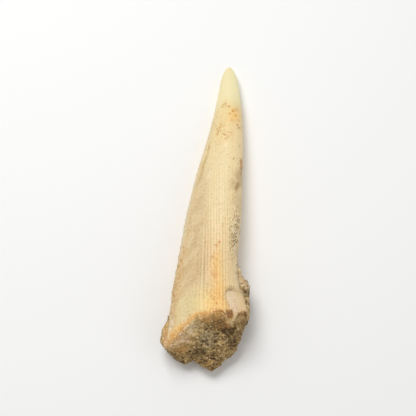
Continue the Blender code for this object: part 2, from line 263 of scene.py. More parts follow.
def rim_chips(place):
    """How far the break's rim stands off its smooth line: small chips, and a splinter."""
    rim_y = closed_curve(BREAK_RIM, place)
    rim_x, rim_z = section(place, rim_y)
    points = np.stack((rim_x, rim_y, rim_z), axis=1)
    chips = sum(height * rough(points, size, CHIP_SEED) for size, height in RIM_CHIPS)
    splinter = np.clip(1.0 - np.abs(rim_x - SPLINTER_X) / SPLINTER_HALF_WIDTH, 0.0, 1.0)
    return chips - SPLINTER_LENGTH * splinter * (place < KEEL_PLACE)


def along(pairs, place):
    """A value on the straight lines that join pairs of a place and a value."""
    places, values = zip(*pairs)
    return np.interp(place, places, values)


def top_height(x, y):
    """Z of the tooth's upper side over one place."""
    places = np.linspace(0.0, KEEL_PLACE, 60)
    wall_x, wall_z = section(places, np.full(len(places), y))
    order = np.argsort(wall_x)
    return np.interp(x, wall_x[order], wall_z[order])


def from_place(points, place_x, place_y, radii):
    """How far points are from a place on the tooth's upper side, as shares of the radii along X and Y."""
    wide, long = radii
    down = (points[:, 2] - top_height(place_x, place_y)) * DOWN_THE_SIDE
    return np.hypot(np.hypot(points[:, 0] - place_x, down) / wide, (points[:, 1] - place_y) / long)


def spotted(spots, points, wobble):
    """How strong the strongest of some ragged spots is at each point."""
    strength = np.zeros(len(points))
    for spot_x, spot_y, radius, top in spots:
        radii = (radius, radius * SPOT_STRETCH)
        share = from_place(points, spot_x, spot_y, radii) * (1 + SPOT_RAGGEDNESS * wobble)
        full = np.clip(SPOT_FULLNESS * bump(share, 0.0, 1.0), 0.0, 1.0)
        strength = np.maximum(strength, top * full)
    return strength


def tooth_marks(place, x, y, z):
    """How strong each mark on the tooth is at each point: 0 is none, 1 is full, and a few go beyond."""
    points = np.stack((x, y, z), axis=1)
    keel_x = along_tooth(y)[0]
    on_top = (place > 0.1) & (place < KEEL_PLACE + 0.3)
    wobble = rough(points, WOBBLE_SIZE, WOBBLE_SEED)
    drift = rough(points, DRIFT_SIZE, DRIFT_SEED)
    from_grit = np.minimum(np.abs(place - GRIT_PLACE), np.abs(place + PLACES - GRIT_PLACE))
    grit = bump(from_grit, 0.0, GRIT_SPREAD) * bump(y, GRIT_MIDDLE, GRIT_REACH)
    from_groove = x - keel_x - along(GROOVE_LINE, y) - GROOVE_WOBBLE * drift
    groove = bump(from_groove, 0.0, GROOVE_SPREAD) * along(GROOVE_STRENGTH, y)
    upper_stain = from_place(points, *UPPER_STAIN_CENTRE, UPPER_STAIN_RADII)
    upper_stain = upper_stain * (1 + UPPER_STAIN_WOBBLE * drift)
    crest_stain = np.abs(x - along(CREST_STAIN_LINE, y)) / along(CREST_STAIN_WIDTHS, y)
    crest_stain = crest_stain * (1 + CREST_STAIN_WOBBLE * drift)
    crest_stain = bump(crest_stain, 0.0, 1.3) * smooth_step(-5.0, -11.0, y)
    scar_depth = depth_inside(SCAR, x, y) + SCAR_WOBBLE * (wobble + drift)
    # Painted shadow under the scar's step: strongest along its top and down its left side.
    scar_shade = smooth_step(-15.6, -14.4, y) * (0.5 + 0.7 * bump(x, 3.7, 0.9))
    scar_shade = np.maximum(scar_shade, 0.35 * smooth_step(4.0, 3.4, x))
    glow = from_place(points, *GLOW_MIDDLE, GLOW_RADII) * (1 + GLOW_WOBBLE * drift)
    return {
        "groove": on_top * groove * (1 + 0.7 * wobble),
        "scar": on_top * smooth_step(0.0, SCAR_STEP, scar_depth),
        # Painted shadow under the scar's step.
        "scar_step_shadow": on_top * bump(scar_depth, 0.0, SCAR_SHADOW_WIDTH) * scar_shade * (1.0 + wobble / 2),
        "pit": on_top * smooth_step(0.0, PIT_STEP, depth_inside(PIT, x, y) + PIT_WOBBLE * wobble),
        "grit": np.maximum(grit, spotted(DUSTY, points, wobble)),
        "worn_edge": bump(x - keel_x, 0.0, WORN_EDGE_SPREAD) * bump(y, WORN_EDGE_MIDDLE, WORN_EDGE_REACH),
        "stain": on_top * np.clip(0.75 * bump(upper_stain, 0.0, 1.0) + crest_stain, 0.0, 1.0),
        "glow": on_top * bump(glow, 0.0, 1.0),
        "mottled": on_top * spotted(MOTTLED, points, 0.5 * drift),
        "rust": on_top * spotted(RUST_SPOTS, points, wobble),
        # Dirt spots, and painted shade down the right edge.
        "dirt_and_edge_shade": on_top * spotted(DARK_SPOTS_AND_EDGE_SHADE, points, wobble),
        "pale": on_top * spotted(PALE_SPOTS, points, wobble),
    }


def tooth_relief(place, x, y, z, marks):
    """How far the surface stands out of the smooth wall."""
    points = np.stack((x, y, z), axis=1)
    out = sum(height * rough(points, size, seed) for size, height, seed in SWELLS)
    out -= GROOVE_DEPTH * marks["groove"]
    nicked = bump(place, KEEL_PLACE, NICK_SPREAD) * bump(y, NICKS_MIDDLE, NICKS_REACH)
    out += NICK_DEPTH * nicked * rough(points, NICK_SIZE, NICK_SEED)
    out += WORN_EDGE_DEPTH * marks["worn_edge"] * rough(points, WORN_EDGE_SIZE, WORN_EDGE_SEED)
    out += GRIT_HEIGHT * marks["grit"] * rough(points, GRIT_SIZE, GRIT_SEED)
    out -= SCAR_DEPTH * marks["scar"] * (0.45 + 0.55 * smooth_step(-18.0, -14.5, y))
    out -= PIT_DEPTH * marks["pit"]
    out -= SPOT_RELIEF * marks["rust"] + SPOT_RELIEF * marks["dirt_and_edge_shade"] - SPOT_RELIEF * marks["pale"]
    return out


def line_place(x, z, keel_x, edge_x, crest):
    """How far across the fine lines a point is, in millimetres. They run along Y and fan out to the keel."""
    fan = LINES_FAN_X - LINES_FAN_WIDTH * (LINES_FAN_X - x) / (LINES_FAN_X - keel_x)
    down_the_side = (crest - z) * smooth_step(0.7, 0.95, (x - keel_x) / (edge_x - keel_x))
    return np.where(x < LINES_FAN_X, fan, x) + down_the_side


def shape_tooth(unit_points):
    """Moves a unit sphere's points onto the tooth, and gives what its finish needs to know at each."""
    turn = np.arctan2(unit_points[:, 1], unit_points[:, 0]) % (2 * math.pi)
    place = turn / (2 * math.pi) * PLACES
    latitude = np.arcsin(np.clip(unit_points[:, 2], -1.0, 1.0))
    share = np.clip((latitude - RIM_LATITUDE) / (math.pi / 2 - RIM_LATITUDE), 0.0, 1.0)
    share -= RING_CROWDING * np.sin(2 * math.pi * share) / (2 * math.pi)
    chips = rim_chips(place)
    smooth_rim_y = closed_curve(BREAK_RIM, place)
    rim_y = smooth_rim_y + chips
    y = rim_y + (TIP_Y - rim_y) * share
    x, z = section(place, y)
    marks = tooth_marks(place, x, y, z)
    out = tooth_relief(place, x, y, z, marks)
    keel_x, edge_x, under, _, crest = along_tooth(y)
    middle_x, middle_z = (keel_x + edge_x) / 2, (under + crest) / 2
    reach = np.maximum(np.hypot(x - middle_x, z - middle_z), 0.01)
    closing = np.where(latitude < RIM_LATITUDE, np.cos(latitude) / math.cos(RIM_LATITUDE), 1.0)
    x = middle_x + (x - middle_x) * (1 + out / reach) * closing
    beyond = np.maximum(smooth_rim_y - y, 0.0) * closing**SPLINTER_THINNING
    z = middle_z + (z - middle_z) * (1 + out / reach) * closing - SPLINTER_DROOP * beyond**2
    z = np.maximum(z, 0.0)
    marks["from_rim"] = (y - rim_y) * closing - (1 - closing)
    marks["rim_band"] = bump(marks["from_rim"] / along(RIM_BAND_WIDTHS, x), 0.0, 1.0)
    on_splinter = np.abs(x - SPLINTER_X) < SPLINTER_HALF_WIDTH
    marks["splinter"] = on_splinter * smooth_step(*SPLINTER_COLOUR_STARTS, smooth_rim_y - y)
    marks["across"] = (x - keel_x) / (edge_x - keel_x)
    marks["line_place"] = line_place(x, z, keel_x, edge_x, crest)
    face_y = smooth_rim_y * closing + chips * closing**SPLINTER_THINNING
    face_y += (np.mean(BREAK_RIM) - BREAK_DEPTH) * (1 - closing)
    y = np.where(closing < 1.0, face_y, y)
    points = np.stack((x, y, z), axis=1)
    broken = smooth_step(1.0, 0.9, closing)
    points[:, 1] += broken * sum(height * rough(points, size, BREAK_SEED) for size, height in BREAK_ROUGHNESS)
    return points, marks


def add_piece(name, form, smooth=True):
    """Makes an object of a bmesh whose points are already in metres."""
    mesh = bpy.data.meshes.new(name)
    form.to_mesh(mesh)
    form.free()
    mesh.polygons.foreach_set("use_smooth", [smooth] * len(mesh.polygons))
    made = bpy.data.objects.new(name, mesh)
    bpy.context.scene.collection.objects.link(made)
    return made


def note_on_points(piece, name, values):
    """Writes a value at each of the piece's points, for its material to read."""
    piece.data.attributes.new(name, "FLOAT", "POINT").data.foreach_set("value", values)


def values_on_points(piece, name):
    """The values that a piece carries at its points."""
    return [item.value for item in piece.data.attributes[name].data]


def make_tooth():
    """A sphere's points moved onto the tooth, with what its finish needs noted on them."""
    form = bmesh.new()
    bmesh.ops.create_uvsphere(form, u_segments=TOOTH_COLUMNS, v_segments=TOOTH_RINGS, radius=1.0)
    points, marks = shape_tooth(np.array([vertex.co for vertex in form.verts]))
    for vertex, point in zip(form.verts, points):
        vertex.co = Vector(point) * MM
    bmesh.ops.reverse_faces(form, faces=form.faces)
    tooth = add_piece("fang", form)
    for name, values in marks.items():
        note_on_points(tooth, name, values)
    return tooth


# The rock: blocks with flat broken faces, each the hull of its corners. They are the part's own, except that
# LEFT_BLOCK is a little slimmer here.
MAIN_BLOCK = (
    (-1.3, -23.2, -0.5), (1.0, -24.5, -0.5), (3.6, -22.8, -0.5), (5.1, -18.4, -0.5), (4.4, -14.2, -0.5),
    (-1.0, -13.0, -0.5), (-4.3, -15.4, -0.5), (-4.8, -19.0, -0.5),
    (-1.6, -24.5, 2.4), (-0.1, -25.1, 2.2), (0.9, -25.7, 2.0), (1.9, -25.1, 2.1), (3.0, -24.3, 2.2),
    (4.95, -22.7, 2.7), (5.6, -20.7, 3.4), (6.0, -19.3, 3.8),
    (-3.4, -20.6, 7.1), (-1.8, -19.2, 8.2), (0.5, -18.6, 9.1), (2.3, -18.2, 9.2), (4.6, -18.5, 8.1),
    (5.9, -18.1, 6.5), (0.0, -15.0, 5.0), (3.8, -19.1, 8.35),
)
LEFT_LOBE = (
    (-4.0, -17.0, -0.5), (-5.6, -19.2, -0.5), (-5.2, -21.9, -0.5), (-3.2, -23.5, -0.5), (-1.6, -22.6, -0.5),
    (-0.5, -19.0, -0.5),
    (-6.8, -21.1, 3.0), (-6.2, -22.5, 2.6), (-4.7, -24.0, 2.1), (-3.3, -24.5, 1.9), (-2.1, -24.4, 2.2),
    (-5.8, -22.5, 5.2), (-4.9, -21.9, 6.2), (-3.6, -20.8, 7.0), (-2.3, -19.9, 7.4), (-3.8, -22.6, 4.9),
    (-2.4, -22.4, 4.6),
)
RIGHT_BLOCK = (
    (4.5, -9.4, 3.6), (4.7, -9.5, 5.0), (5.5, -10.5, 3.8), (6.4, -12.0, 2.6), (6.85, -13.2, 3.9),
    (6.6, -13.2, 5.6), (6.8, -16.0, 3.2), (6.7, -16.0, 5.4), (6.5, -18.6, 3.4), (6.2, -18.4, 5.7),
    (5.9, -19.6, 2.6), (5.6, -19.7, 5.4), (5.4, -12.4, 0.9), (5.8, -17.0, 0.5), (3.6, -13.5, 1.2),
    (3.6, -18.0, 4.8), (3.4, -12.5, 4.2),
)
LEFT_BLOCK = (
    (-6.2, -22.6, 2.2), (-6.8, -21.2, 2.6), (-6.45, -19.7, 3.4), (-5.6, -17.5, 3.6), (-6.5, -21.8, 4.4),
    (-6.3, -20.0, 4.8), (-5.0, -17.6, 1.2), (-4.0, -18.4, 4.4), (-3.9, -22.0, 4.3), (-5.6, -20.6, 0.2),
)
ROCK_VOXEL = 0.13

# Where the rock is lighter or darker and where it is rustier: a place, a radius, how light and how warm. The
# darkest patches, just under the right half of the rim, are painted shade in the hollow beneath it.
ROCK_PATCHES_AND_RIM_SHADE = (
    ((-6.2, -19.6, 4.4), 2.2, 0.7, 0.3), ((-6.1, -21.6, 4.6), 1.9, 0.9, 0.3),
    ((-5.0, -22.5, 5.3), 1.6, 0.6, 0.2), ((-3.8, -21.4, 6.0), 2.0, 0.8, 0.2),
    ((-2.4, -20.4, 7.1), 1.9, 0.55, 0.0), ((-1.5, -19.9, 7.6), 1.7, 0.65, -0.1),
    ((0.1, -18.8, 8.7), 1.4, 0.2, 0.4), ((1.7, -18.5, 9.0), 1.4, -0.1, 0.4),
    ((0.9, -19.7, 7.9), 1.3, -0.75, 0.1), ((1.9, -19.3, 8.3), 1.2, -0.7, 0.2),
    ((-2.4, -21.8, 5.6), 1.4, 0.4, 0.1), ((0.1, -20.9, 6.6), 1.2, 0.6, -0.2),
    ((0.4, -21.4, 6.1), 2.4, 0.15, -0.7), ((0.1, -21.9, 5.6), 0.9, -0.4, 0.0),
    ((-2.3, -22.7, 4.7), 1.2, 0.6, 0.2), ((2.3, -20.2, 7.1), 1.3, -0.85, 0.1),
    ((-3.6, -22.9, 4.4), 1.8, 0.25, 0.6), ((-1.1, -23.5, 3.9), 1.9, -0.5, -0.1),
    ((0.9, -23.6, 4.0), 1.4, 0.25, 0.1), ((0.85, -24.6, 3.2), 1.5, -0.2, 0.3),
    ((2.2, -21.7, 5.6), 1.2, 0.35, 0.0), ((3.0, -22.6, 4.4), 1.0, 0.5, 0.0),
    ((2.5, -23.6, 3.6), 1.2, 0.4, 0.0),
    ((3.0, -19.7, 7.2), 1.8, -0.5, 0.2), ((4.0, -20.4, 6.7), 1.4, -0.5, 0.2),
    ((2.9, -18.7, 8.2), 1.3, -0.1, 0.0),
    ((4.5, -21.4, 4.8), 2.0, -0.3, 0.1), ((5.3, -19.0, 6.3), 1.7, 0.2, 0.2),
    ((5.8, -11.6, 4.6), 2.2, 0.5, -1.2), ((6.2, -13.2, 5.4), 1.6, 0.3, -0.9),
    ((6.1, -14.4, 5.6), 1.0, -1.1, -0.9), ((6.4, -16.0, 5.0), 2.2, -0.35, -1.2),
)

# By the tooth the rock is lighter and warmer, and swells to fill the seam.
GLOW_REACH, GLOW_LIGHT, GLOW_WARMTH = 1.2, 1.0, 0.5
RIM_FILL, RIM_FILL_REACH = 0.26, 0.8

# The rock's surface: sizes and heights of broad and of fine lumps, and one hollow, deeper than the part's.
ROCK_LUMPS = ((2.6, 0.34), (1.1, 0.20))
FINE_LUMPS = ((0.55, 0.13), (0.24, 0.06))
ROCK_SHRINK = 0.09
ROCK_HOLLOW, ROCK_HOLLOW_RADIUS, ROCK_HOLLOW_DEPTH = (2.2, -20.8, 6.8), 2.4, 0.8


def add_block(form, corners):
    """One block of rock, the hull of its corners."""
    new = [form.verts.new(Vector(corner) * MM) for corner in corners]
    hull = bmesh.ops.convex_hull(form, input=new)
    spare = hull["geom_interior"] + hull["geom_unused"]
    inner = {item for item in spare if isinstance(item, bmesh.types.BMVert)}
    bmesh.ops.delete(form, geom=list(inner), context="VERTS")


def nearness(point, surface, reach):
    """1 for a point on a surface, falling to 0 at this many millimetres off."""
    distance = surface.find_nearest(point, reach * MM)[3]
    return 0.0 if distance is None else 1.0 - distance / (reach * MM)


def rock_tone(point, tooth_surface):
    """How light and how warm the rock is at a point in millimetres, with the painted shade under the rim."""
    glow = nearness(point * MM, tooth_surface, GLOW_REACH)
    light, warm = GLOW_LIGHT * glow, GLOW_WARMTH * glow
    for middle, radius, lighter, warmer in ROCK_PATCHES_AND_RIM_SHADE:
        share = max(0.0, 1.0 - (point - Vector(middle)).length / radius)
        share *= share * (3.0 - 2.0 * share)
        light += lighter * share
        warm += warmer * share
    return light, warm


def make_rock(tooth_surface):
    """The blocks fused into one lump with a rough surface and a flat foot."""
    form = bmesh.new()
    for corners in (MAIN_BLOCK, LEFT_LOBE, RIGHT_BLOCK, LEFT_BLOCK):
        add_block(form, corners)
    blocks = add_piece("blocks", form)
    fuse = blocks.modifiers.new("fuse", "REMESH")
    fuse.mode = "VOXEL"
    fuse.voxel_size = ROCK_VOXEL * MM
    fused = bpy.data.meshes.new_from_object(blocks.evaluated_get(bpy.context.evaluated_depsgraph_get()))
    bpy.data.objects.remove(blocks)
    form = bmesh.new()
    form.from_mesh(fused)
    form.normal_update()
    hollow = Vector(ROCK_HOLLOW)
    painted_pit_shade = form.verts.layers.float.new("painted_pit_shade")
    for vertex in form.verts:
        place = vertex.co / MM
        waves = [height * noise.noise(place / size) for size, height in ROCK_LUMPS + FINE_LUMPS]
        fine = waves[len(ROCK_LUMPS):]
        # Painted shade: the rock is darker where the fine lumps dip.
        vertex[painted_pit_shade] = -sum(fine) / sum(height for _, height in FINE_LUMPS)
        share = max(0.0, 1.0 - (place - hollow).length / ROCK_HOLLOW_RADIUS)
        out = sum(waves) - ROCK_SHRINK - ROCK_HOLLOW_DEPTH * share * share * (3 - 2 * share)
        out += RIM_FILL * nearness(vertex.co, tooth_surface, RIM_FILL_REACH)
        vertex.co += vertex.normal * out * MM
    everything = form.verts[:] + form.edges[:] + form.faces[:]
    bmesh.ops.bisect_plane(form, geom=everything, plane_co=(0, 0, 0), plane_no=(0, 0, -1), clear_outer=True)
    bmesh.ops.holes_fill(form, edges=[edge for edge in form.edges if edge.is_boundary], sides=0)
    bmesh.ops.recalc_face_normals(form, faces=form.faces)
    rock = add_piece("sandy_rock", form)
    tones = [rock_tone(vertex.co / MM, tooth_surface) for vertex in rock.data.vertices]
    note_on_points(rock, "light", [light for light, _ in tones])
    note_on_points(rock, "warm", [warm for _, warm in tones])
    return rock


# Grains of sand, each a small angular pebble mostly sunk in what holds it: how many, and their least and
# greatest radius, before each is stretched.
ROCK_GRAINS = (4200, 0.06, 0.18)
RIM_GRAINS = (900, 0.04, 0.12)
SEAM_GRAINS = (900, 0.04, 0.12)
PATCH_GRAINS = (700, 0.06, 0.18)
SEAM_WIDTH = 1.2
GRAIN_SINK = 0.55
GRAIN_STRETCH = (0.7, 1.25)
GRAIN_SEED = 27

# Where grains may lie: above the foot, not deeper than this inside the tooth, in the grit, along the rim and
# by the rock, but not on the splinter.
FOOT_HEIGHT, HIDDEN_DEPTH = 0.3, 0.05
GRIT_CUTS = (0.35, 0.95)
RIM_SAND_START, RIM_SAND_ENDS = -0.3, (-0.1, 0.3)
SEAM_SAND_HEIGHT, SEAM_SAND_OFF_RIM = 2.0, 0.3
SPLINTER_CUT = 0.1

# How much lighter and warmer than the rock the sand along the rim and the seam is, and how light the grit is.
EDGE_SAND_LIGHT, EDGE_SAND_WARMTH = 0.1, 0.4
PATCH_SAND_LIGHTS = (-0.8, 0.9, 1.5, 1.9)


def surface_index(piece):
    """A tree of a piece's faces, for finding the nearest."""
    form = bmesh.new()
    form.from_mesh(piece.data)
    tree = BVHTree.FromBMesh(form)
    form.free()
    return tree


def grain_seats(piece, count, chance, chosen):
    """The middles and normals of random faces of a piece. chosen tells which faces may be picked."""
    faces = [face for face in piece.data.polygons if chosen(face)]
    return [(face.center.copy(), face.normal.copy()) for face in chance.choices(faces, k=count)]


def make_grains(name, piece, grains, chance, chosen, tone_at):
    """One joined mesh of small angular pebbles on a piece's chosen faces, each with a tone of its own."""
    count, low, high = grains
    ball = bmesh.new()
    bmesh.ops.create_icosphere(ball, subdivisions=1, radius=1.0)
    pebble = bpy.data.meshes.new("pebble")
    ball.to_mesh(pebble)
    ball.free()
    for note in ("tone", "light", "warm"):
        pebble.attributes.new(note, "FLOAT", "POINT")
    form = bmesh.new()
    for point, normal in grain_seats(piece, count, chance, chosen):
        radius = (low + (high - low) * chance.random() ** 2) * MM
        grain = pebble.copy()
        size = Matrix.Diagonal([radius * chance.uniform(*GRAIN_STRETCH) for _ in range(3)]).to_4x4()
        axis = Vector([chance.uniform(-1, 1) for _ in range(3)])
        turn = Matrix.Rotation(chance.uniform(0, math.tau), 4, axis)
        grain.transform(Matrix.Translation(point - normal * radius * GRAIN_SINK) @ turn @ size)
        light, warm = tone_at(point / MM)
        notes = {"tone": chance.random(), "light": light, "warm": warm}
        for note, value in notes.items():
            grain.attributes[note].data.foreach_set("value", [value] * len(grain.vertices))
        form.from_mesh(grain)
        bpy.data.meshes.remove(grain)
    bpy.data.meshes.remove(pebble)
    return add_piece(name, form, smooth=False)


# Noise in materials: how rough all of it is, and how the streaks are turned and drawn out.
CLOUD_ROUGHNESS = 0.55
STREAK_ANGLE, STREAK_SCALES = math.radians(35), (1.6, 0.7, 1.0)


class Wire:
    """A value in a material. Arithmetic on it adds Math nodes."""

    def __init__(self, paint, socket):
        self.paint, self.socket = paint, socket

    def worked(self, operation, *values):
        return self.paint.node("ShaderNodeMath", {"operation": operation}, dict(enumerate((self, *values))))

    def __add__(self, other):
        return self.worked("ADD", other)

    def __sub__(self, other):
        return self.worked("SUBTRACT", other)

    def __rsub__(self, other):
        return self * -1.0 + other

    def __mul__(self, other):
        return self.worked("MULTIPLY", other)

    __radd__ = __add__
    __rmul__ = __mul__

    def wave(self, length):
        """A smooth wave from 0 to 1, this long."""
        return (self * (math.tau / length)).worked("SINE") * 0.5 + 0.5

    def step(self, low, high):
        """0 up to low, rising smoothly to 1 at high. It falls instead where low is the larger."""
        values = {"Value": self, "From Min": low, "From Max": high}
        return self.paint.node("ShaderNodeMapRange", {"interpolation_type": "SMOOTHSTEP"}, values)


class Paint:
    """A material, made node by node."""

    def __init__(self, name):
        self.material = bpy.data.materials.new(name)
        self.material.use_nodes = True
        self.tree = self.material.node_tree
        self.shader = self.tree.nodes["Principled BSDF"]
        place = self.node("ShaderNodeTexCoord", output="Object")
        self.place = self.node("ShaderNodeVectorMath", {"operation": "SCALE"}, {0: place, "Scale": 1 / MM})

    def node(self, kind, settings=None, values=None, output=0):
        made = self.tree.nodes.new(kind)
        for name, setting in (settings or {}).items():
            setattr(made, name, setting)
        for name, value in (values or {}).items():
            self.set(made.inputs[name], value)
        return Wire(self, made.outputs[output])

    def set(self, socket, value):
        if isinstance(value, Wire):
            self.tree.links.new(value.socket, socket)
        else:
            socket.default_value = value

    def finish(self, values):
        """Sets the shader's sockets, and gives the material."""
        for name, value in values.items():
            self.set(self.shader.inputs[name], value)
        return self.material

    def noted(self, name):
        """A value that the mesh carries on its points."""
        return self.node("ShaderNodeAttribute", {"attribute_name": name}, output="Fac")

    def flat_vector(self, x, y):
        return self.node("ShaderNodeCombineXYZ", None, {"X": x, "Y": y, "Z": 0.0})

    def stretched(self, vector, scales):
        return self.node("ShaderNodeVectorMath", {"operation": "MULTIPLY"}, {0: vector, 1: scales})

    def slanted(self):
        """The place turned about Z and drawn out, for noise in slanting streaks."""
        values = {0: self.place, "Angle": STREAK_ANGLE}
        turned = self.node("ShaderNodeVectorRotate", {"rotation_type": "Z_AXIS"}, values)
        return self.stretched(turned, STREAK_SCALES)

    def cloud(self, size, detail=3.0, vector=None):
        """Soft noise from about 0.2 to 0.8, with patches of this size in millimetres."""
        values = {
            "Vector": vector or self.place, "Scale": 1 / size, "Detail": detail,
            "Roughness": CLOUD_ROUGHNESS,
        }
        return self.node("ShaderNodeTexNoise", None, values)

    def mix(self, share, below, above):
        """One colour over another."""
        return self.node("ShaderNodeMix", {"data_type": "RGBA"}, {0: share, 6: below, 7: above}, output=2)

    def stained(self, share, below, stain):
        """A colour seen through a thin stain."""
        settings = {"data_type": "RGBA", "blend_type": "MULTIPLY"}
        return self.node("ShaderNodeMix", settings, {0: share, 6: below, 7: stain}, output=2)

    def raised(self, height, distance):
        """Normals bent by a height from 0 to 1, which is this many millimetres high."""
        values = {"Height": height, "Distance": distance * MM, "Strength": 1.0}
        return self.node("ShaderNodeBump", None, values)


def shade(red, green, blue):
    """A colour given as it looks on a screen, from 0 to 255."""
    return [((value / 255 + 0.055) / 1.055) ** 2.4 for value in (red, green, blue)] + [1.0]


TIP_IVORY = shade(243, 229, 178)
LIT_SIDE_IVORY = shade(250, 239, 188)
IVORY = shade(241, 219, 169)
HONEY = shade(242, 214, 152)
GLOW_YELLOW = shade(254, 224, 152)
FLUTE_BEIGE = shade(226, 201, 155)
FLUTE_PALE = shade(234, 214, 160)
EDGE_CREAM = shade(219, 202, 168)
LIT_SIDE_PALE = shade(252, 226, 174)
LOW_TAN = shade(238, 200, 144)
LINE_CREAM = shade(251, 227, 177)
STAIN_ORANGE = shade(250, 197, 102)
SCAR_GREY = shade(239, 213, 175)
SCAR_TAN = shade(248, 214, 160)
PALE_CREAM = shade(253, 234, 199)
BROKEN_BROWN = shade(206, 152, 84)
PIT_BROWN = shade(132, 94, 50)
PIT_RUST = shade(176, 120, 50)
SPLINTER_BROWN = shade(166, 128, 80)
SPLINTER_TAN = shade(226, 192, 138)

# Thin stains: how much of the red, green and blue light each lets through.
BEIGE_STAIN = (0.89, 0.84, 0.76, 1.0)
LINE_STAIN = (0.72, 0.64, 0.50, 1.0)
SPECK_STAIN = (0.78, 0.70, 0.56, 1.0)
OLIVE_STAIN = (0.68, 0.57, 0.34, 1.0)
RUST_STAIN = (0.74, 0.50, 0.24, 1.0)
HONEY_STAIN = (0.90, 0.79, 0.58, 1.0)
# For dirt spots, and for painted shade down the tooth's right edge.
DIRT_AND_SHADE_STAIN = (0.44, 0.31, 0.18, 1.0)
GRIT_STAIN = (0.64, 0.57, 0.46, 1.0)
# For the painted shadow under the scar's step, and for dark flecks in the grit.
SHADOW_AND_FLECK_STAIN = (0.46, 0.38, 0.30, 1.0)

# The enamel's bumps and how far light spreads in it, in millimetres, how much of the light does so, and the
# index of refraction.
ENAMEL_BUMP, ENAMEL_SPREAD, ENAMEL_SPREAD_SHARE, ENAMEL_IOR = 0.06, 0.4, 0.1, 1.6


